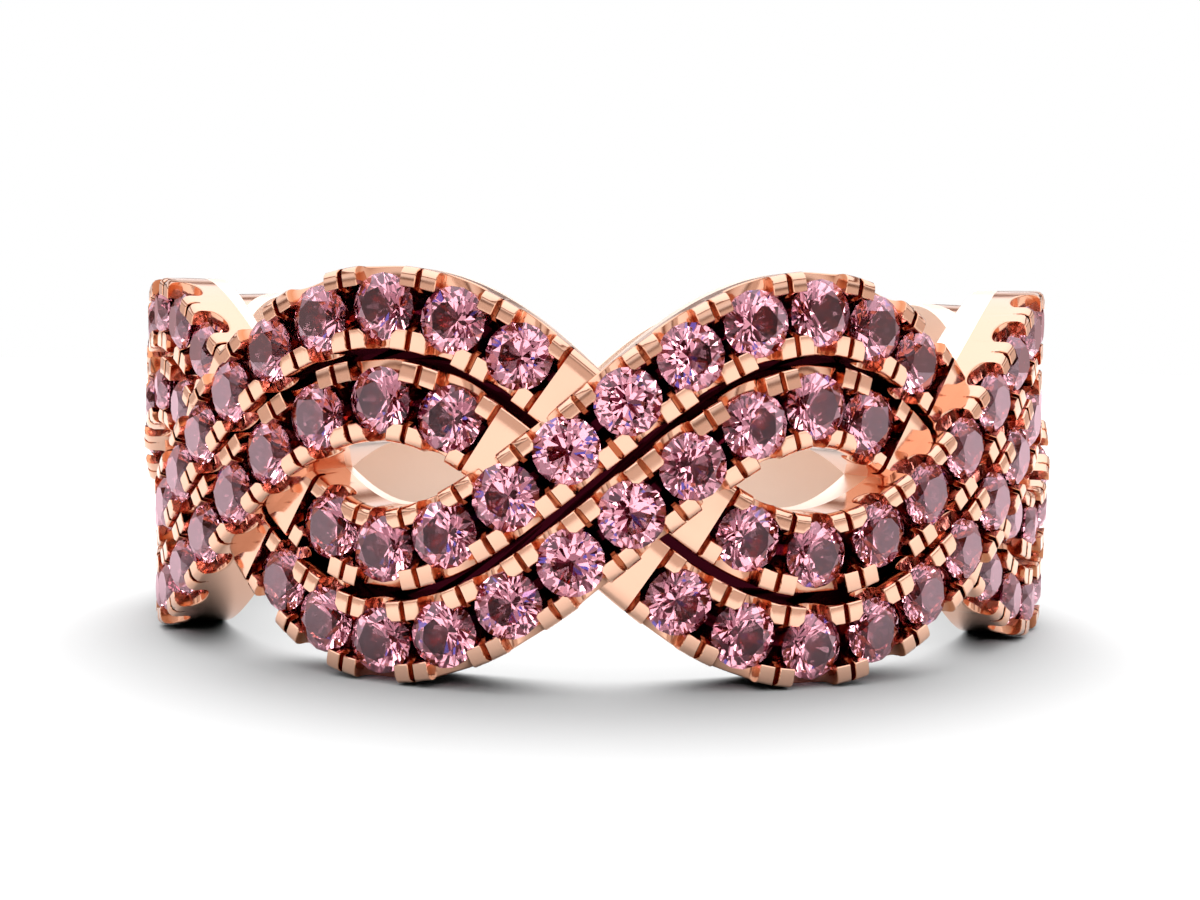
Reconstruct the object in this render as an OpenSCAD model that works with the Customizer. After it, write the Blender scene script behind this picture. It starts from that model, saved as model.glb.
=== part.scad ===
// Infinity ring: two interwoven strands, each set with two rows of round stones.
// Millimetres. The finger hole's axis is Z, and the ring lies on its lower crests at z = 0.

/* [Finger hole] */
// Diameter of the finger hole
finger_d = 17.3; // [15:0.1:21]

/* [Strands] */
// How many times the two strands cross, going once round the ring
crossings = 8; // [6:1:9]
// Height of the wave that the middle line of a strand makes
wave_h = 4.2; // [3.6:0.1:4.8]
// Width of one strand, at a crest
strand_w = 3.04; // [2.9:0.02:3.2]
// Metal from the finger hole to the prong tops, at the crest of a wave
wall_t = 1.4; // [1.2:0.05:2]
// How far a strand rises where it crosses over, and sinks where it passes under
weave = 0.27; // [0.1:0.01:0.35]
// Share by which a strand is narrower at a crossing than at a crest
waist = 0.06; // [0:0.01:0.08]

/* [Stones] */
// Diameter of a stone at its girdle
stone_d = 1.17; // [0.9:0.01:1.2]
// Distance from stone to stone along a row
stone_pitch = 1.32; // [1.3:0.01:1.6]
// Distance between the two rows of a strand, at a crest
row_gap = 1.61; // [1.56:0.01:1.66]
// Free room between a stone and the prongs round it
stone_clearance = 0.045; // [0.04:0.005:0.06]
// How far the table of a stone lies under the prong tops
table_drop = 0.02; // [0:0.01:0.06]
// Free room under the point of a stone
point_room = 0.08; // [0.04:0.01:0.12]

/* [Prongs] */
// Length of a split pair of prongs along the row
pair_l = 0.64; // [0.48:0.01:0.66]
// Distance from the middle of a row to the prong tips beside it
prong_tip = 0.37; // [0.34:0.01:0.44]
// Saw cut that splits a pair, and parts the end plates from the last prong
cut_w = 0.09; // [0.06:0.01:0.12]
// Width of the channel between the two rows
channel_w = 0.17; // [0.14:0.01:0.3]
// Shortest end plate, along the row
plate_l = 0.25; // [0.2:0.01:0.3]

/* [Hidden] */

finger_r = finger_d / 2;
mean_r = finger_r + wall_t;
waves = crossings / 2;
edge = strand_w / 2;
ring_h = wave_h + strand_w;
row = row_gap / 2;

// The cut of a stone, as shares of its diameter
stone_sides = 8;
table_r = 0.56 * stone_d / 2;
crown_h = 0.15 * stone_d;
girdle_h = 0.03 * stone_d;
pavilion_h = 0.42 * stone_d;
prong_h = table_drop + crown_h + girdle_h + pavilion_h + point_room;

// Soldered pieces run this far into each other
sunk = 0.1;
// Prongs and plates stand back this far from the edge of the strand
set_back = 0.04;
// The strands start this far inside the finger hole, which then cuts them round
inside_r = finger_r - 0.4;

// A stretch of strand runs in phase from -180 to 180 degrees, with the crossing
// where it lies on top at 0, and the crossings where it passes under at its ends.
under_phase = 180;
strand_step = 10;
run_step = 2;
run_end = 178;

// A strand is laid out flat, as the turn about the ring and the height of a point at
// some phase and distance beside its middle line, and is then wrapped round the ring.
function slope(phase) = atan(wave_h / 2 * waves * cos(phase) / mean_r);
function narrowed(phase, side) = side * (1 - waist * pow(cos(phase), 2));
function turn(phase, side) =
    phase / waves - narrowed(phase, side) * sin(slope(phase)) / mean_r * 180 / PI;
function height(phase, side) =
    wave_h / 2 * sin(phase) + narrowed(phase, side) * cos(slope(phase));
function wrapped(phase, side, r) =
    [r * sin(turn(phase, side)), -r * cos(turn(phase, side)), height(phase, side)];

// Radius of the prong tops, the girdles and the floor under the stones, and the lean inwards
function top_r(phase) = mean_r + weave * cos(phase);
function girdle_r(phase) = top_r(phase) - table_drop - crown_h;
function floor_r(phase) = top_r(phase) - prong_h;
function lean(phase) = atan(weave * waves * sin(phase) * cos(slope(phase)) / mean_r);

// Length run from the middle of a stretch along a line beside it, in rows of [length, phase]
function step_l(phase, side) = norm(
    wrapped(phase + run_step, side, top_r(phase + run_step)) - wrapped(phase, side, top_r(phase)));
function run_table(side) = [
    for (phase = 0, run = 0; phase <= run_end; run = run + step_l(phase, side), phase = phase + run_step)
        [run, phase]];
function run_to(table, phase) = lookup(phase, [for (pair = table) [pair[1], pair[0]]]);

// How far a point lies outside the strand that crosses over the end of the stretch
function outside(phase, side) =
    let (other = turn(phase, side) * waves - under_phase)
    (height(phase, side) - wave_h / 2 * sin(other)) * cos(slope(other)) - narrowed(other, edge);
// Phase at which a line beside the middle of the stretch has run depth into that strand
function meeting(side, depth, low = 60, high = under_phase, tries = 24) =
    let (middle = (low + high) / 2)
    tries == 0 ? middle :
    outside(middle, side) > -depth
        ? meeting(side, depth, middle, high, tries - 1)
        : meeting(side, depth, low, middle, tries - 1);

// The upper row of a stretch runs further on its far side than on its near side, and
// its stones fill what is free between the two strands that cross over its ends.
far_table = run_table(row);
near_table = run_table(-row);
far_l = run_to(far_table, meeting(row, 0));
near_l = run_to(near_table, meeting(-row, 0));
end_room = stone_pitch / 2 + cut_w / 2 + plate_l;
gaps = floor((far_l + near_l - 2 * end_room) / stone_pitch);
first_l = (far_l - near_l - gaps * stone_pitch) / 2;
last_l = first_l + gaps * stone_pitch;
function phase_at(run) = run < 0 ? -lookup(-run, near_table) : lookup(run, far_table);

// A half turn about the middle of a stretch lays its upper row on its lower row
module both_rows() {
    children();
    rotate([0, 180, 0]) children();
}

// Every second stretch belongs to the other strand
module round_the_ring(first, step) {
    translate([0, 0, ring_h / 2])
        for (i = [first : step : crossings - 1])
            rotate([0, 0, i * 360 / crossings]) children();
}

// Seats a child on the upper row, with x along the row, y across it and z outwards
module on_row(phase, r) {
    rotate([0, 0, turn(phase, row)])
        translate([0, -r, height(phase, row)])
            rotate([90, 0, 0]) rotate([0, lean(phase), slope(phase)]) children();
}

// A solid through sections of four corners each
module lofted(sections) {
    last = 4 * (len(sections) - 1);
    walls = [for (start = [0 : 4 : last - 4], corner = [0 : 3])
        let (a = start + corner, b = start + (corner + 1) % 4)
            each [[a, b, b + 4], [a, b + 4, a + 4]]];
    polyhedron(
        [for (section = sections) each section],
        concat([[0, 3, 2], [0, 2, 1]], walls, [[last, last + 1, last + 2], [last, last + 2, last + 3]]));
}

// The metal of a strand from the finger hole out to the floor under the stones
module strand() {
    ends = under_phase + strand_step;
    lofted([for (phase = [-ends : strand_step : ends]) [
        wrapped(phase, -edge, floor_r(phase)), wrapped(phase, edge, floor_r(phase)),
        wrapped(phase, edge, inside_r), wrapped(phase, -edge, inside_r)]]);
}

// One prong of a split pair: dir is the way along the row to the stone that it holds, and
// across is the side of the row that it stands on. A cut corner clears the stone's girdle.
module prong(run, dir, across, foot_side, foot_back) {
    phase = phase_at(run);
    foot = narrowed(phase, foot_side) - foot_back;
    stone_phase = phase_at(run + dir * stone_pitch / 2);
    along = sin(turn(stone_phase, row) - turn(phase, row)) * girdle_r(stone_phase);
    up = height(stone_phase, row) - height(phase, row);
    stone_x = dir * (along * cos(slope(phase)) + up * sin(slope(phase)));
    stone_y = across * (up * cos(slope(phase)) - along * sin(slope(phase)));
    clear = (stone_d / 2 + stone_clearance) * sqrt(2) - stone_x + stone_y;
    start = cut_w / 2;
    end = pair_l / 2;
    past = foot + end;
    on_row(phase, floor_r(phase) - sunk)
        linear_extrude(prong_h + sunk) scale([dir, across]) difference() {
            polygon([[start, prong_tip], [end, prong_tip], [end, foot], [start, foot]]);
            polygon([[-clear, 0], [past, 0], [past, clear + past]]);
        }
}

// The prongs stand in the gaps between the stones, on both sides of the row
module prongs() {
    for (i = [0 : gaps], dir = [-1, 1]) {
        run = first_l + (i - dir / 2) * stone_pitch;
        prong(run, dir, 1, edge - row, set_back);
        prong(run, dir, -1, row, channel_w / 2);
    }
}

// A plain plate between two lines of the strand, to the strand that crosses over
module plate(start, low_side, high_side) {
    parts = 4;
    function part(side, i) = start + (meeting(side, sunk) - start) * i / parts;
    lofted([for (i = [0 : parts])
        let (low = part(low_side, i), high = part(high_side, i)) [
            wrapped(low, low_side, top_r(low)), wrapped(high, high_side, top_r(high)),
            wrapped(high, high_side, floor_r(high) - sunk), wrapped(low, low_side, floor_r(low) - sunk)]]);
}

// The plates that end the upper and the lower row at the far side of the stretch
module plates() {
    past = (stone_pitch + cut_w) / 2;
    plate(phase_at(last_l + past), channel_w / 2, edge - set_back);
    plate(-phase_at(first_l - past), set_back - edge, -channel_w / 2);
}

// A round brilliant with a table and eight facets above and below its girdle, at z = 0
module stone() {
    function corners(r, z) = [for (i = [0 : stone_sides - 1])
        let (a = i * 360 / stone_sides) [r * cos(a), r * sin(a), z]];
    n = stone_sides;
    ring = [for (i = [0 : n - 1]) [i, (i + 1) % n]];
    polyhedron(
        concat(corners(table_r, crown_h), corners(stone_d / 2, 0), corners(stone_d / 2, -girdle_h),
            [[0, 0, -girdle_h - pavilion_h]]),
        concat([[for (i = [n - 1 : -1 : 0]) i]],
            [for (side = ring) [side[0], side[1], n + side[1], n + side[0]]],
            [for (side = ring) [n + side[0], n + side[1], 2 * n + side[1], 2 * n + side[0]]],
            [for (side = ring) [2 * n + side[0], 2 * n + side[1], 3 * n]]));
}

module row_of_stones() {
    for (i = [0 : gaps]) {
        phase = phase_at(first_l + i * stone_pitch);
        on_row(phase, girdle_r(phase)) stone();
    }
}

// The metal, bored out round. The seam of the bore lies in metal, a sixth of the way between crossings.
module band() {
    color("#e6b08e") difference() {
        round_the_ring(0, 1) {
            strand();
            both_rows() prongs();
            both_rows() plates();
        }
        translate([0, 0, -ring_h]) rotate([0, 0, 60 / crossings])
            cylinder(h = 3 * ring_h, r = finger_r, $fn = 180);
    }
}

module stones_first_strand() {
    color("#c98a9c") round_the_ring(0, 2) both_rows() row_of_stones();
}

module stones_second_strand() {
    color("#c98a9c") round_the_ring(1, 2) both_rows() row_of_stones();
}

band();
stones_first_strand();
stones_second_strand();
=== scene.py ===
import bpy
import numpy as np
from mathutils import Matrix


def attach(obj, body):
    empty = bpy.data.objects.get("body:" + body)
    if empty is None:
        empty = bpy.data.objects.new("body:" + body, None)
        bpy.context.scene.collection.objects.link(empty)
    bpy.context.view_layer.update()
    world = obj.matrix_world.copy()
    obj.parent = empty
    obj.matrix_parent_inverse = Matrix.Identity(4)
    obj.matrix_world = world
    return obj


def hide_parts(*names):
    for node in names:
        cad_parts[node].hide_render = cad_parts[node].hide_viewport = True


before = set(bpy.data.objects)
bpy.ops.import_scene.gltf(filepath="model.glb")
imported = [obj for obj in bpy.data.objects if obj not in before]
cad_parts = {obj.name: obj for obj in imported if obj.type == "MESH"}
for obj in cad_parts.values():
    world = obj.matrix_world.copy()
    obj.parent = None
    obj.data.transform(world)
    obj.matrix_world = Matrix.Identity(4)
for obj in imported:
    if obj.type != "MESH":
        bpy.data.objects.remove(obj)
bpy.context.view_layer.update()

# The two strands of the band.
# Closed waves of rose gold that run round the finger and weave through each other, cast in one, bored round
# and polished. Two rows of seats are drilled along each strand, with a channel between them, a U cut beside
# every stone, and prongs that a saw splits in pairs. Lengths are in millimetres until a mesh is made.
crossings = 8
waves = crossings / 2
finger_r = 8.65
wall_t = 1.4
ring_h = 7.24
strand_w = 3.04
# How far a strand rises and sinks at its crossings, and the share by which it is narrower there
weave = 0.27
waist = 0.06
stone_d = 1.17
stone_pitch = 1.32
stones_in_row = 11
row_gap = 1.61
channel_w = 0.17
# A prong pair's length along the row, its tips' distance from the middle of the row, and how near to the
# stone's axis a prong comes, which cuts its corner
pair_l = 0.66
prong_tip = 0.37
claw_r = 0.54
# The saw cut that splits a pair, and on the side wall the share of its width and the depth that it has
cut_w = 0.09
cut_depth = 0.17
wall_cut_share = 0.35
wall_cut_depth = 0.26
# The U cut beside a stone: the depth of its straight sides and of its middle, and its room round the stone
u_straight = 0.28
u_depth = 0.52
under_stone = 0.04
# The seat: its radius and depth at the girdle and half way down, the radius of its floor, its half width
# under an end plate, the depth of a stone's point under its girdle, and the floor's under the prong tops
seat_r = 0.6
girdle_depth = 0.2
seat_half_r = 0.42
seat_half_depth = 0.6
seat_floor_r = 0.2
seat_middle = 0.08
point_depth = 0.52
seat_depth = 0.802
# The outer wall's foot under the prong tops, the least height of a wall, and how far its foot stands
# under a cut
wall_foot = 0.95
least_wall = 0.1
below_cut = 0.05
# How far the end plates run into the strand that crosses over them
plate_sunk = 0.1
# Rounds on the outer edge, beside the channel, in the U cuts and at the bore, and a buffed edge on prongs
edge_round = 0.15
channel_round = 0.05
u_round = 0.03
bore_round = 0.05
fine_edge = 0.015
mean_r = finger_r + wall_t
wave_h = ring_h - strand_w
edge = strand_w / 2
row = row_gap / 2


def slope(phase):
    """Climb of a strand: the arc tangent of its wave's rise over the turn that goes with it."""
    return np.arctan(wave_h / 2 * waves * np.cos(phase) / mean_r)


def top_r(phase):
    """Radius of the prong tops: the mean radius plus the weave times the cosine of the phase."""
    return mean_r + weave * np.cos(phase)


def wrapped(phase, side, r):
    """Place on the ring of a point that lies side beside a strand's middle line, r from the axis.
    The middle line turns with the phase and rises with its sine. The side step is square to it,
    and is shorter at the crossings, by the waist times the squared cosine of the phase."""
    step = side * (1 - waist * np.cos(phase) ** 2)
    turn = phase / waves - step * np.sin(slope(phase)) / mean_r
    height = ring_h / 2 + wave_h / 2 * np.sin(phase) + step * np.cos(slope(phase))
    return np.stack([r * np.sin(turn), -r * np.cos(turn), height], axis=-1)


def speed(phase, side):
    """Length run per radian of phase along a line beside the middle line: the distance of two near
    points over their difference in phase."""
    near = 0.001
    ahead = wrapped(phase + near, side, top_r(phase + near))
    behind = wrapped(phase - near, side, top_r(phase - near))
    return np.linalg.norm(ahead - behind, axis=-1) / (2 * near)


def meeting(side, depth):
    """Phase at which a line of the strand has run depth into the strand that crosses over it, found by
    halving. A point lies outside that strand by its height over the strand's middle line, times the
    cosine of that line's slope, less half the strand's width."""
    low, high = np.full_like(side, np.pi / 3), np.full_like(side, np.pi)
    for _ in range(30):
        middle = (low + high) / 2
        step = side * (1 - waist * np.cos(middle) ** 2)
        other = middle - step * np.sin(slope(middle)) / mean_r * waves - np.pi
        rise = wave_h / 2 * (np.sin(middle) - np.sin(other)) + step * np.cos(slope(middle))
        outside = rise * np.cos(slope(other)) - edge * (1 - waist * np.cos(other) ** 2) > -depth
        low, high = np.where(outside, middle, low), np.where(outside, high, middle)
    return middle


# Stones and prong pairs stand evenly along the row, in the middle of what is free between the two
# strands that cross over the ends of the stretch.
fine = np.linspace(-np.pi, np.pi, 4001)
steps = np.linalg.norm(np.diff(wrapped(fine, row, top_r(fine)), axis=0), axis=1)
run_at = np.concatenate([[0], np.cumsum(steps)])
free_ends = np.array([-meeting(np.array([-row]), 0)[0], meeting(np.array([row]), 0)[0]])
middle_run = np.interp(free_ends, fine, run_at).mean()
stone_run = middle_run + stone_pitch * (np.arange(stones_in_row) - (stones_in_row - 1) / 2)
pair_run = middle_run + stone_pitch * (np.arange(stones_in_row + 1) - stones_in_row / 2)
stone_phase = np.interp(stone_run, run_at, fine)
pair_phase = np.interp(pair_run, run_at, fine)


def between_pairs(u, side):
    """Phase of the points u past the middle of each prong pair. Within a pair it is the pair's phase
    plus the length over the speed, so a pair keeps its length on every line beside the row. The
    opening between two pairs is shared out evenly, and takes up the bend of the strand."""
    left_l = np.minimum(u, pair_l / 2)
    right_l = np.minimum(stone_pitch - u, pair_l / 2)
    left = pair_phase[:-1, None] + left_l / speed(pair_phase[:-1, None], side)
    right = pair_phase[1:, None] - right_l / speed(pair_phase[1:, None], side)
    share = np.clip((u - pair_l / 2) / (stone_pitch - pair_l), 0, 1)
    return left * (1 - share) + right * share


def off_stone(u, sign, distance, least):
    """Step across the row at which a station is a distance away from the stone's axis, or the least
    step. It starts as the distance, and what it is short by is added to it 14 times."""
    stone = wrapped(stone_phase, row, top_r(stone_phase))[:, None]
    across = np.full_like(u, distance)
    for _ in range(14):
        phase = between_pairs(u, row + sign * across)
        gap = np.linalg.norm(wrapped(phase, row + sign * across, top_r(phase)) - stone, axis=-1)
        across = np.maximum(across + distance - gap, least)
    return across


# Stations along the row, from the middle of one prong pair to the next: the saw cut, half a pair with its
# fine edges, the U cut beside the stone as a straight side and half an ellipse, and half a pair again.
# A painted shade runs from 0 on polished metal to 1 in the bottom of a seat. It darkens the saw cuts, the
# prongs' sides, the U cuts, the ends under the crossings, the channel and the seats, where light doesn't
# reach.
half = cut_w / 2
side_of_pair = pair_l / 2
sweep = np.linspace(0, np.pi, 13)
block_u = [half, half, half, half + fine_edge, side_of_pair / 2, side_of_pair - fine_edge, side_of_pair,
           side_of_pair]
block_depth = [cut_depth, 0.1, fine_edge, 0, 0, 0, fine_edge, 0.12]
block_shade = [0.5, 0.42, 0.3, 0, 0, 0, 0.25, 0.3]
saw_side = np.arange(3)
corner_at = 4
edge_at = 5
side_at = 6
u_cut = side_of_pair + (stone_pitch - pair_l) * (1 - np.cos(sweep)) / 2
u_cut_depth = u_straight + (u_depth - u_straight) * np.sin(sweep)
top_u = np.concatenate([block_u, u_cut])
top_u = np.concatenate([top_u, stone_pitch - top_u[len(block_u) - 1::-1]])
top_depth = np.concatenate([block_depth, u_cut_depth, block_depth[::-1]])
top_shade = np.concatenate([block_shade, 0.15 - 0.1 * np.sin(sweep), block_shade[::-1]])
stations = len(top_u)
in_u_cut = (top_depth >= u_straight)
top_u = np.tile(top_u, (stones_in_row, 1))
foot_u = np.tile(stone_pitch * (np.arange(stations) + 0.5) / stations, (stones_in_row, 1))

# Stations of a row's end, with their kinds: under the crossing strand, along the end plate, on the fine
# edge of its saw cut, and in the cut.
under_n, plate_n = 6, 9
under, plate, cut_edge, cut = range(4)
end_kind = np.repeat([under, plate, cut_edge, cut], [under_n, plate_n, 1, 1])
under_share = np.arange(under_n) / under_n
end_share = np.concatenate([under_share, np.linspace(0, 1, plate_n), [1, 1]])
end_foot = np.concatenate([under_share, np.linspace(0.04, 0.94, plate_n), [0.97, 1]])
end_top = np.array([seat_depth, 0, 0.1, cut_depth])[end_kind]
end_shade = np.array([0.5, 0, 0.5, 0.8])[end_kind]


def end_phase(side, share, pair):
    """Phase of the stations at the start of a row: evenly from the crossing to where the line comes out
    from under the other strand, and then evenly to the first saw cut."""
    meet = -meeting(-side, plate_sunk)
    stop = pair - half / speed(np.full_like(side, pair), side)
    return np.where(end_kind == under, -np.pi + (meet + np.pi) * share, meet + (stop - meet) * share)


def row_line(sign, places, ends):
    """One line along a whole stretch, as rows of phase, side, depth and shade. It joins the row's start,
    its stones and its far end. Places and ends both give a length or share along the row, a step
    across it, a depth and a shade. The far end is the start of a row that runs the other way."""
    u, across, depth, shade = [np.broadcast_to(value, top_u.shape) for value in places]
    share, end_across, end_depth, end_dark = [np.broadcast_to(value, end_share.shape) for value in ends]
    side = row + sign * across
    end_side = row + sign * end_across
    start = end_phase(end_side, share, pair_phase[0])
    last = -end_phase(-end_side, share, -pair_phase[-1])[::-1]
    phase = np.concatenate([start, between_pairs(u, side).ravel(), last])
    joined = [np.concatenate([end, middle.ravel(), end[::-1]])
              for end, middle in [(end_side, side), (end_depth, depth), (end_dark, shade)]]
    return np.stack([phase] + joined)


def rail(sign, far, foot_depth, foot_shade, rounding):
    """The wall of prongs on one side of a row, as lines beside each other: from the foot of its far face
    over a quarter circle to the flat tops, over a fine edge at the prong tips, and down round the
    stone to the floor of its seat. A tip stands at its own step, or at the cut corner's distance from
    the stone. In a U cut it follows the stone's cone, which narrows evenly with the depth."""
    cone_r = stone_d / 2 * (1 - (top_depth - girdle_depth) / point_depth) + under_stone
    tip = off_stone(top_u, sign, np.where(in_u_cut, cone_r, claw_r), prong_tip)
    sides_at = [side_at, -1 - side_at]
    cut_back = np.minimum(tip[:, sides_at] - prong_tip, side_of_pair - half - 2 * fine_edge)
    u = top_u.copy()
    u[:, corner_at] = side_of_pair - cut_back[:, 0]
    u[:, -1 - corner_at] = stone_pitch - side_of_pair + cut_back[:, 1]
    wall_u = u.copy()
    wall_u[:, saw_side] *= wall_cut_share
    wall_u[:, -1 - saw_side] = stone_pitch - wall_u[:, saw_side]
    tip[:, [edge_at, -1 - edge_at]] = tip[:, sides_at] - fine_edge
    tip[:, :edge_at] = prong_tip
    tip[:, -edge_at:] = prong_tip
    turned = np.where(in_u_cut, u_round, rounding)
    end_turned = np.where(end_kind == under, u_round, rounding)
    end_low = np.minimum(end_top, foot_depth - least_wall)
    foot = row_line(sign, (foot_u, far, foot_depth, foot_shade), (end_foot, far, foot_depth, foot_shade))
    cut_foot = np.maximum(top_depth + below_cut, wall_cut_depth)
    end_cut_foot = np.maximum(end_low + below_cut, wall_cut_depth)
    above_foot = row_line(
        sign, (wall_u, far, cut_foot, foot_shade / 2), (end_share, far, end_cut_foot, foot_shade / 2))
    lines = [foot, above_foot]
    for angle in np.radians([90, 60, 30, 0]):
        inward = 1 - np.sin(angle)
        down = 1 - np.cos(angle)
        along = wall_u if angle > np.pi / 4 else u
        lines.append(row_line(
            sign, (along, far - turned * inward, top_depth + turned * down, top_shade),
            (end_share, far - end_turned * inward, end_low + end_turned * down, end_shade)))
    # The fine edge at the tips, and then the seat, as rows of step, length along the row, depth and shade.
    bowl = [(tip + fine_edge, u, 0, 0), (tip, u, fine_edge, 0.1)]
    for r, along, down, dark in [(seat_r, u, girdle_depth, 0.6), (seat_half_r, u, seat_half_depth, 0.9),
                                 (seat_floor_r, foot_u, seat_depth, 1)]:
        bowl.append((off_stone(along, sign, r, r / 2), along, down, dark))
    for across, along, down, dark in bowl:
        across = np.where(in_u_cut, np.minimum(across, tip), across)
        deep = np.maximum(top_depth + fine_edge * (down > 0), down)
        u_cut_dark = dark * (0.85 if down > girdle_depth else 0.35)
        shade = np.maximum(top_shade, np.where(in_u_cut, u_cut_dark, dark))
        plate_across = prong_tip * (1 - dark) + seat_middle * dark
        end_across = np.where(end_kind == under, 0.5 * plate_across, plate_across)
        end_deep = np.where(end_kind == plate, 0, np.maximum(end_low, down))
        end_dark = np.maximum(end_shade, dark * (end_kind != plate))
        lines.append(row_line(
            sign, (along, across, deep, shade), (end_share, end_across, end_deep, end_dark)))
    return lines


outer = rail(1, edge - row, wall_foot, 0, edge_round)
inner = rail(-1, row - channel_w / 2, seat_depth, 1, channel_round)
upper = np.stack(outer + inner[::-1])
lower = upper[::-1, :, ::-1] * np.array([-1, -1, 1, 1])[:, None]
cut_lines = np.concatenate([upper, lower])

# The bore is plain and round, with a small round on its edges.
bore_side = edge * np.array([-1, -1 + bore_round / edge, -0.6, -0.2, 0.2, 0.6, 1 - bore_round / edge, 1])
bore_share = (bore_side[:, None] / edge + 1) / 2
bore_phase = lower[-1, 0] + (upper[0, 0] - lower[-1, 0]) * bore_share
strand_phase = np.concatenate([cut_lines[:, 0], bore_phase])
strand_side = np.concatenate([cut_lines[:, 1], np.broadcast_to(bore_side[:, None], bore_phase.shape)])
strand_r = np.concatenate([top_r(cut_lines[:, 0]) - cut_lines[:, 2], np.full_like(bore_phase, finger_r)])
strand_r[[len(cut_lines), -1]] += bore_round
strand_shade = np.concatenate([cut_lines[:, 3], np.zeros_like(bore_phase)])


def mesh_piece(name, points, groups):
    """A piece from points in millimetres and groups of faces that index them. Its place is in its mesh,
    as the points over a thousand, and its object sits at the origin."""
    faces = [face for group in groups for face in group.tolist()]
    mesh = bpy.data.meshes.new(name)
    mesh.from_pydata((points.reshape(-1, 3) * 0.001).tolist(), [], faces)
    mesh.update()
    piece = bpy.data.objects.new(name, mesh)
    bpy.context.scene.collection.objects.link(piece)
    return piece


def closed_faces(lines, stations):
    """Four-cornered faces of a skin that closes on itself both ways. A face spans one line to the next
    and one station to the next, and the last of each joins the first."""
    line, station = np.meshgrid(np.arange(lines), np.arange(stations), indexing="ij")
    next_line, next_station = (line + 1) % lines, (station + 1) % stations
    corners = [(line, station), (line, next_station), (next_line, next_station), (next_line, station)]
    return np.stack([a * stations + b for a, b in corners], axis=-1).reshape(-1, 4)


def turns_about(angle):
    """Matrices that turn rows of points by each angle about the finger hole's axis. Their rows are the
    cosine and sine, and the negative sine and cosine, and the height is kept."""
    cos, sin = np.cos(angle), np.sin(angle)
    zero, one = np.zeros_like(cos), np.ones_like(cos)
    rows = np.stack([cos, sin, zero, -sin, cos, zero, zero, zero, one], axis=-1)
    return rows.reshape(np.shape(angle) + (3, 3))


def linear(hexcode):
    """An sRGB hex colour as linear red, green, blue and alpha. A dark channel is divided by 12.92. Any
    other has 0.055 added, is divided by 1.055, and is raised to the power 2.4."""
    srgb = np.array([int(hexcode[i:i + 2], 16) for i in (1, 3, 5)]) / 255
    return (*np.where(srgb <= 0.04045, srgb / 12.92, ((srgb + 0.055) / 1.055) ** 2.4), 1)


def add_node(owner, kind, settings, links):
    """Adds a node to a material or a world, with its settings, the values of its sockets and the stops of
    its colour ramp, and links its sockets to outputs."""
    made = owner.node_tree.nodes.new(kind)
    for name, value in settings.items():
        if name == "stops":
            ramp = made.color_ramp.elements
            ramp.remove(ramp[1])
            ramp[0].position, ramp[0].color = value[0]
            for place, colour in value[1:]:
                ramp.new(place).color = colour
        elif isinstance(name, int) or name in made.inputs:
            made.inputs[name].default_value = value
        else:
            setattr(made, name, value)
    for name, output in links.items():
        owner.node_tree.links.new(output, made.inputs[name])
    return made


def new_material(name):
    """A material with nodes, but none in it yet."""
    material = bpy.data.materials.new(name)
    material.use_nodes = True
    material.node_tree.nodes.clear()
    return material


# Rose gold, cast, then tumbled and buffed on a felt wheel: a mirror that is a little softer in some places
# than in others. Its colour is painted dark red, and near black, where shade falls in the saw cuts, channel
# and seats.
# The wheel leaves patches about half a millimetre wide.
buffed_patch = 0.5
polished_rose_gold = new_material("polished_rose_gold")
recess = add_node(polished_rose_gold, "ShaderNodeAttribute", {"attribute_name": "recess"}, {})
# The colour ramp runs from the polished gold through painted dark red shade to painted near black shade.
gold_colour_and_painted_shade = add_node(polished_rose_gold, "ShaderNodeValToRGB", {"stops": [
    (0, linear("#ecbaa0")), (0.3, linear("#cf8259")), (0.65, linear("#7a1a04")), (1, linear("#2a050e"))]}, {
    "Fac": recess.outputs["Fac"]})
on_ring = add_node(polished_rose_gold, "ShaderNodeTexCoord", {}, {})
buffing = add_node(polished_rose_gold, "ShaderNodeTexNoise", {"Scale": 1000 / buffed_patch, "Detail": 2.0}, {
    "Vector": on_ring.outputs["Object"]})
softness = add_node(polished_rose_gold, "ShaderNodeMapRange", {"To Min": 0.07, "To Max": 0.17}, {
    "Value": buffing.outputs[0]})
shader = add_node(polished_rose_gold, "ShaderNodeBsdfPrincipled", {"Metallic": 1.0}, {
    "Base Color": gold_colour_and_painted_shade.outputs["Color"], "Roughness": softness.outputs["Result"]})
add_node(polished_rose_gold, "ShaderNodeOutputMaterial", {}, {"Surface": shader.outputs[0]})

# The same gold in the bore, turned on a mandrel under fine emery and worn to a satin by the finger, in lines
# that run round the finger. Its soft pale glow is partly the satin and partly painted light: its colour is
# painted paler than the polished gold's. Emery leaves lines 0.01 mm apart, too fine to show, so they are
# drawn
# 0.06 mm apart and 6 mm long.
emery_gap = 0.06
emery_l = 6
satin_rose_gold_painted_paler = new_material("satin_rose_gold_painted_paler")
on_ring = add_node(satin_rose_gold_painted_paler, "ShaderNodeTexCoord", {}, {})
stretched = add_node(satin_rose_gold_painted_paler, "ShaderNodeMapping", {
    "Scale": (1 / emery_l, 1 / emery_l, 1 / emery_gap)}, {"Vector": on_ring.outputs["Object"]})
emery = add_node(satin_rose_gold_painted_paler, "ShaderNodeTexNoise", {"Scale": 1000.0, "Detail": 1.0}, {
    "Vector": stretched.outputs[0]})
softness = add_node(satin_rose_gold_painted_paler, "ShaderNodeMapRange", {"To Min": 0.3, "To Max": 0.46}, {
    "Value": emery.outputs[0]})
scratches = add_node(satin_rose_gold_painted_paler, "ShaderNodeBump", {"Strength": 0.4, "Distance": 0.000004}, {
    "Height": emery.outputs[0]})
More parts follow.
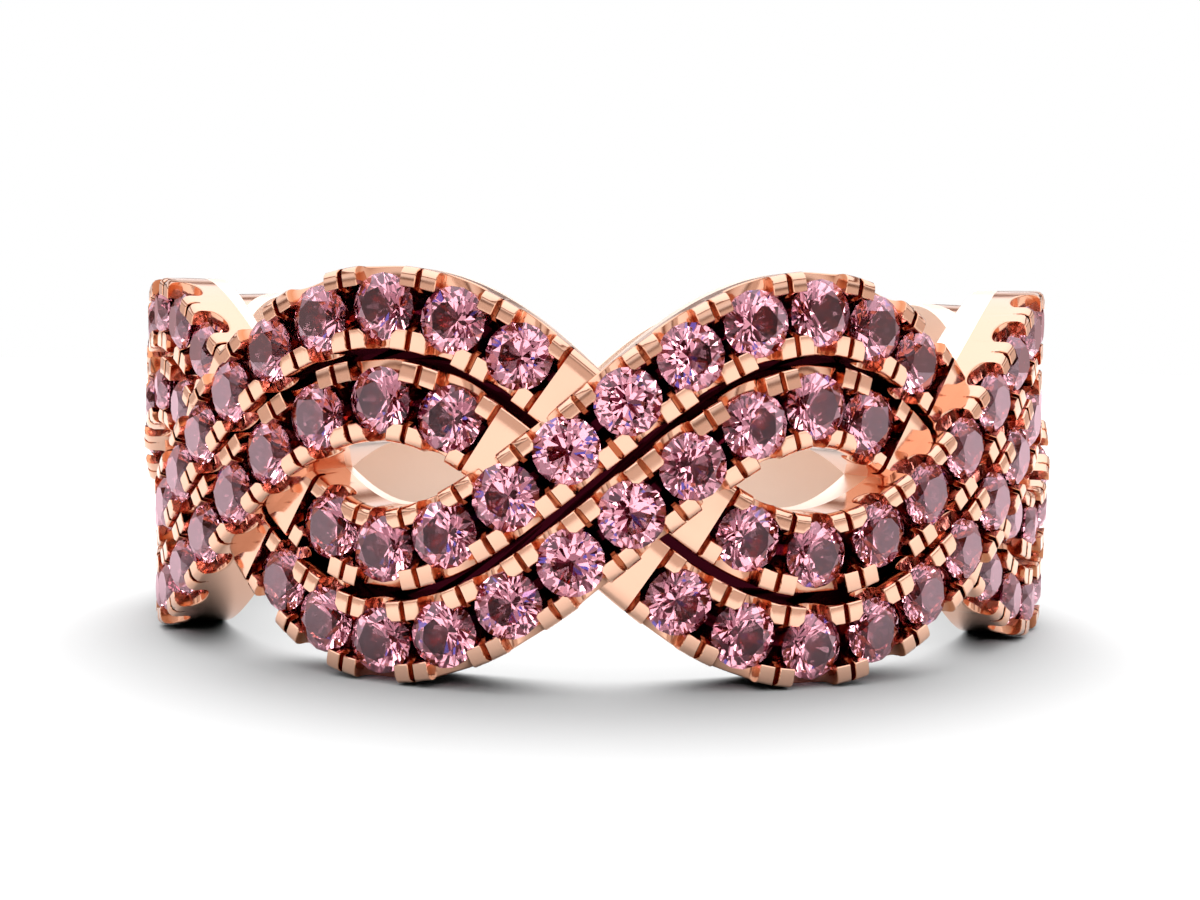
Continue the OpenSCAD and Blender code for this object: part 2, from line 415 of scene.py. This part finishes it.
# The base colour is painted paler than the polished gold, a painted lighter copy of it.
shader = add_node(satin_rose_gold_painted_paler, "ShaderNodeBsdfPrincipled", {
    "Base Color": linear("#fbe4d4"), "Metallic": 1.0}, {
    "Roughness": softness.outputs["Result"], "Normal": scratches.outputs["Normal"]})
add_node(satin_rose_gold_painted_paler, "ShaderNodeOutputMaterial", {}, {"Surface": shader.outputs[0]})

# The second strand is the first one, turned on by one crossing.
laps = crossings // 2
for number, name in enumerate(["strand_first", "strand_second"]):
    all_phase = np.concatenate([strand_phase + 2 * np.pi * lap for lap in range(laps)], axis=1)
    points = wrapped(all_phase, np.tile(strand_side, laps), np.tile(strand_r, laps))
    points = points @ turns_about(2 * np.pi * number / crossings)
    strand = mesh_piece(name, points, [closed_faces(*all_phase.shape)])
    # Each point keeps its painted shade, which darkens the gold where shade falls in cuts, channel and
    # seats.
    shade = strand.data.attributes.new("recess", "FLOAT", "POINT")
    shade.data.foreach_set("value", np.tile(strand_shade, laps).ravel().astype(np.float32))
    strand.data.materials.append(polished_rose_gold)
    strand.data.materials.append(satin_rose_gold_painted_paler)
    in_bore = np.repeat(np.arange(len(all_phase)) >= len(cut_lines), all_phase.shape[1])
    strand.data.polygons.foreach_set("material_index", in_bore.astype(np.int32))
    strand.data.shade_smooth()
    strand.data.set_sharp_from_angle(angle=np.radians(35))
    strand.modifiers.new("even shading", "WEIGHTED_NORMAL").keep_sharp = True
    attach(strand, "root")
    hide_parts("band")

# The stones.
# Round brilliants of mauve pink beryl, cut with a table, 32 crown facets, a girdle of 16 flats and 24 facets
# below it, and pressed into their seats until the prongs' corners hold their edges.
# The heights of the cut and its table are shares of a stone's diameter. The star facets and the lower halves
# have corners at shares of its radius. The table lies a little under the prong tops.
table_share = 0.56
crown_h = 0.15
girdle_h = 0.03
pavilion_h = 0.42
star_share = 0.77
lower_half_share = 0.24
table_drop = 0.02
sides = 8


def circle(count, r, z, first=0.0):
    """Points round the stone's axis, at a radius and a height, the first of them turned by a part of a
    step: the radius times the cosine and the sine of even angles."""
    angle = 2 * np.pi * (np.arange(count) + first) / count
    return np.stack([r * np.cos(angle), r * np.sin(angle), np.full(count, z)], axis=-1)


def on_main(r, from_r, from_z, to_r, to_z):
    """Height of a corner half way between two main facets, on the planes of both: the height that a
    straight line between two corners of a facet has at the corner's radius, measured along it."""
    return from_z + (to_z - from_z) * (r * np.cos(np.pi / sides) - from_r) / (to_r - from_r)


def brilliant():
    """Corners of a brilliant of diameter 1, with its girdle's upper edge at height 0, and its facets in
    groups: table, stars, mains, upper halves, girdle, lower halves and lower mains."""
    table_r, star_r, low_r = table_share / 2, star_share / 2, lower_half_share / 2
    tip_z = -girdle_h - pavilion_h
    corners = np.concatenate([
        circle(sides, table_r, crown_h),
        circle(sides, star_r, on_main(star_r, table_r, crown_h, 0.5, 0), 0.5),
        circle(2 * sides, 0.5, 0),
        circle(2 * sides, 0.5, -girdle_h),
        circle(sides, low_r, on_main(low_r, 0, tip_z, 0.5, -girdle_h), 0.5),
        [[0, 0, tip_z]]])
    star, girdle, under, low, tip = sides * np.array([1, 2, 4, 6, 7])
    k = np.arange(sides)
    after, before = (k + 1) % sides, (k - 1) % sides
    wide = np.arange(2 * sides)
    wide_after = (wide + 1) % (2 * sides)
    return corners, [
        k[None],
        np.stack([k, star + k, after], -1),
        np.stack([k, star + before, girdle + 2 * k, star + k], -1),
        np.stack([star + wide // 2, girdle + wide, girdle + wide_after], -1),
        np.stack([girdle + wide, under + wide, under + wide_after, girdle + wide_after], -1),
        np.stack([low + wide // 2, under + wide_after, under + wide], -1),
        np.stack([np.full(sides, tip), low + k, under + 2 * k, low + before], -1)]


# Each stone stands square to the metal, with its first corner ahead along the row.
corners, facets = brilliant()
near = 0.01
girdle_r = top_r(stone_phase) - (table_drop + crown_h * stone_d)
place = wrapped(stone_phase, row, girdle_r)
ahead = wrapped(stone_phase + near, row, girdle_r) - wrapped(stone_phase - near, row, girdle_r)
ahead /= np.linalg.norm(ahead, axis=1, keepdims=True)
outward = place * [1, 1, 0]
outward -= (outward * ahead).sum(axis=1, keepdims=True) * ahead
outward /= np.linalg.norm(outward, axis=1, keepdims=True)
square_to_metal = np.stack([ahead, np.cross(outward, ahead), outward], axis=1)
one_row = place[:, None] + corners * stone_d @ square_to_metal - [0, 0, ring_h / 2]
one_stretch = np.concatenate([one_row, one_row * [-1, 1, -1]])

# Clear pink beryl, cut and polished: light bends in, the facets throw it about inside, and it deepens to
# burgundy along the way, while facets tilted from the eye take a pale gloss. It bends light a little more
# than the 1.58 of beryl, for livelier facets. The depth of colour is per metre.
beryl_bends = 1.62
pink_beryl = new_material("pink_beryl")
bent_in = add_node(pink_beryl, "ShaderNodeBsdfRefraction", {
    "Color": linear("#f7e4e9"), "Roughness": 0.0, "IOR": beryl_bends}, {})
gloss = add_node(pink_beryl, "ShaderNodeBsdfGlossy", {"Color": linear("#efc6d2"), "Roughness": 0.0}, {})
tilt = add_node(pink_beryl, "ShaderNodeLayerWeight", {"Blend": 0.34}, {})
front = add_node(pink_beryl, "ShaderNodeMixShader", {}, {
    0: tilt.outputs["Facing"], 1: bent_in.outputs[0], 2: gloss.outputs[0]})
inside = add_node(pink_beryl, "ShaderNodeBsdfPrincipled", {
    "Base Color": linear("#f7e4e9"), "Roughness": 0.0, "IOR": beryl_bends, "Transmission Weight": 1.0}, {})
facet = add_node(pink_beryl, "ShaderNodeNewGeometry", {}, {})
shader = add_node(pink_beryl, "ShaderNodeMixShader", {}, {
    0: facet.outputs["Backfacing"], 1: front.outputs[0], 2: inside.outputs[0]})
depth_colour = add_node(pink_beryl, "ShaderNodeVolumeAbsorption", {
    "Color": linear("#d58fa0"), "Density": 900.0}, {})
add_node(pink_beryl, "ShaderNodeOutputMaterial", {}, {
    "Surface": shader.outputs[0], "Volume": depth_colour.outputs[0]})

for number, name in enumerate(["stones_first", "stones_second"]):
    angle = 2 * np.pi * (2 * np.arange(laps) + number) / crossings
    points = one_stretch @ turns_about(angle)[:, None] + [0, 0, ring_h / 2]
    first_corner = np.arange(0, points.size // 3, len(corners))[:, None, None]
    faces = [(group + first_corner).reshape(-1, group.shape[1]) for group in facets]
    stones = mesh_piece(name, points, faces)
    stones.data.materials.append(pink_beryl)
    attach(stones, "root")
    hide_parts(["stones_first_strand", "stones_second_strand"][number])

# The floor.
# A large sheet of matt white paper under the ring. Rays that leave a stone don't see it, or every stone
# would be filled with its one flat white.
floor_half = 1000
white_paper = new_material("white_paper")
shader = add_node(white_paper, "ShaderNodeBsdfDiffuse", {"Color": linear("#f6f6f6")}, {})
add_node(white_paper, "ShaderNodeOutputMaterial", {}, {"Surface": shader.outputs[0]})
paper_corners = floor_half * np.array([[-1, -1, 0], [1, -1, 0], [1, 1, 0], [-1, 1, 0]])
floor = mesh_piece("floor", paper_corners, [np.array([[0, 1, 2, 3]])])
floor.data.materials.append(white_paper)
floor.visible_transmission = False

# The light.
# A tent of white cloth round the ring, lit by a large soft lamp above and behind it, with a plain white
# backdrop. What the gold mirrors, what the stones gather and what lights the floor are set apart.
tent = bpy.data.worlds.new("light_tent")
bpy.context.scene.world = tent
tent.use_nodes = True
tent.node_tree.nodes.clear()
ray = add_node(tent, "ShaderNodeLightPath", {}, {})
direction = add_node(tent, "ShaderNodeTexCoord", {}, {})

# The gold mirrors the cloth: white above, a dimmer front, and two dark warm gaps between its panels. A stop
# is a height from the bottom of the tent to its top, a strength and a tint.
white, dim, warm = np.array([0.97, 1, 1.04]), np.array([1, 0.87, 0.81]), np.array([1, 0.5, 0.33])
cloth = [(0, 1.2, white), (0.4, 1.1, white), (0.5, 0.72, dim), (0.575, 0.85, dim), (0.585, 0.15, warm),
         (0.605, 0.15, warm), (0.615, 1.2, white), (0.7, 0.9, dim), (0.72, 0.25, warm), (0.75, 0.25, warm),
         (0.77, 1.5, white), (0.98, 1.8, white)]
height = add_node(tent, "ShaderNodeSeparateXYZ", {}, {"Vector": direction.outputs["Generated"]})
up_to_one = add_node(tent, "ShaderNodeMapRange", {"From Min": -1.0, "From Max": 1.0}, {
    "Value": height.outputs["Z"]})
mirrored = add_node(tent, "ShaderNodeValToRGB", {
    "stops": [(place, (*(strength * tint), 1)) for place, strength, tint in cloth]}, {
    "Fac": up_to_one.outputs["Result"]})
for_metal = add_node(tent, "ShaderNodeBackground", {"Strength": 1.0}, {"Color": mirrored.outputs["Color"]})

# The stones gather light from dark, pink, white and a few blue cards, which give them facets that differ.
cards = [(0, 0.05, 0.001, 0.006), (0.36, 0.25, 0.05, 0.09), (0.43, 0.8, 0.62, 0.7), (0.55, 1.5, 1.33, 1.41),
         (0.68, 3, 2.8, 2.9), (0.78, 9, 9, 9), (0.87, 0.25, 0.4, 1.6), (0.878, 0.05, 0.001, 0.006)]
patches = add_node(tent, "ShaderNodeTexVoronoi", {"Scale": 5.0}, {"Vector": direction.outputs["Generated"]})
gathered = add_node(tent, "ShaderNodeValToRGB", {
    "stops": [(place, (*card, 1)) for place, *card in cards]}, {
    "Fac": patches.outputs["Color"]})
gathered.color_ramp.interpolation = "CONSTANT"
for_stones = add_node(tent, "ShaderNodeBackground", {"Strength": 1.0}, {"Color": gathered.outputs["Color"]})

# The lamp lights the floor and draws the shadow. A stop is how nearly a direction points at the lamp.
glow = [(0, 0), (0.002, 0.55), (0.5, 0.65), (0.8, 1.2), (0.98, 3)]
toward_lamp = add_node(tent, "ShaderNodeVectorMath", {"operation": "DOT_PRODUCT", 1: (0, 0.64, 0.768)}, {
    0: direction.outputs["Generated"]})
lamp = add_node(tent, "ShaderNodeValToRGB", {
    "stops": [(place, (level, level, level, 1)) for place, level in glow]}, {
    "Fac": toward_lamp.outputs["Value"]})
for_floor = add_node(tent, "ShaderNodeBackground", {"Strength": 1.5}, {"Color": lamp.outputs["Color"]})
backdrop = add_node(tent, "ShaderNodeBackground", {"Color": (1, 1, 1, 1), "Strength": 1.0}, {})

shown = for_floor
for kind_of_ray, instead in [
        ("Is Glossy Ray", for_metal), ("Is Transmission Ray", for_stones), ("Is Camera Ray", backdrop)]:
    shown = add_node(tent, "ShaderNodeMixShader", {}, {
        0: ray.outputs[kind_of_ray], 1: shown.outputs[0], 2: instead.outputs[0]})
add_node(tent, "ShaderNodeOutputWorld", {}, {"Surface": shown.outputs[0]})

# The camera.
# It looks almost level at the front crossing from 34 mm, in metres. Light that the gold would throw on the
# paper is left out, because the photograph's shadow is neutral grey.
camera = bpy.data.objects.new("camera", bpy.data.cameras.new("camera"))
bpy.context.scene.collection.objects.link(camera)
camera.location = (-0.00012, -0.03381, 0.00567)
camera.rotation_euler = (np.pi / 2 - 0.0633, -0.0153, -0.0043)
camera.data.lens = 42.87
camera.data.clip_start = 0.001
bpy.context.scene.camera = camera
bpy.context.scene.view_settings.view_transform = "Standard"
bpy.context.scene.cycles.caustics_reflective = False
bpy.context.scene.cycles.max_bounces = 16
bpy.context.scene.cycles.glossy_bounces = 12
bpy.context.scene.cycles.transmission_bounces = 12
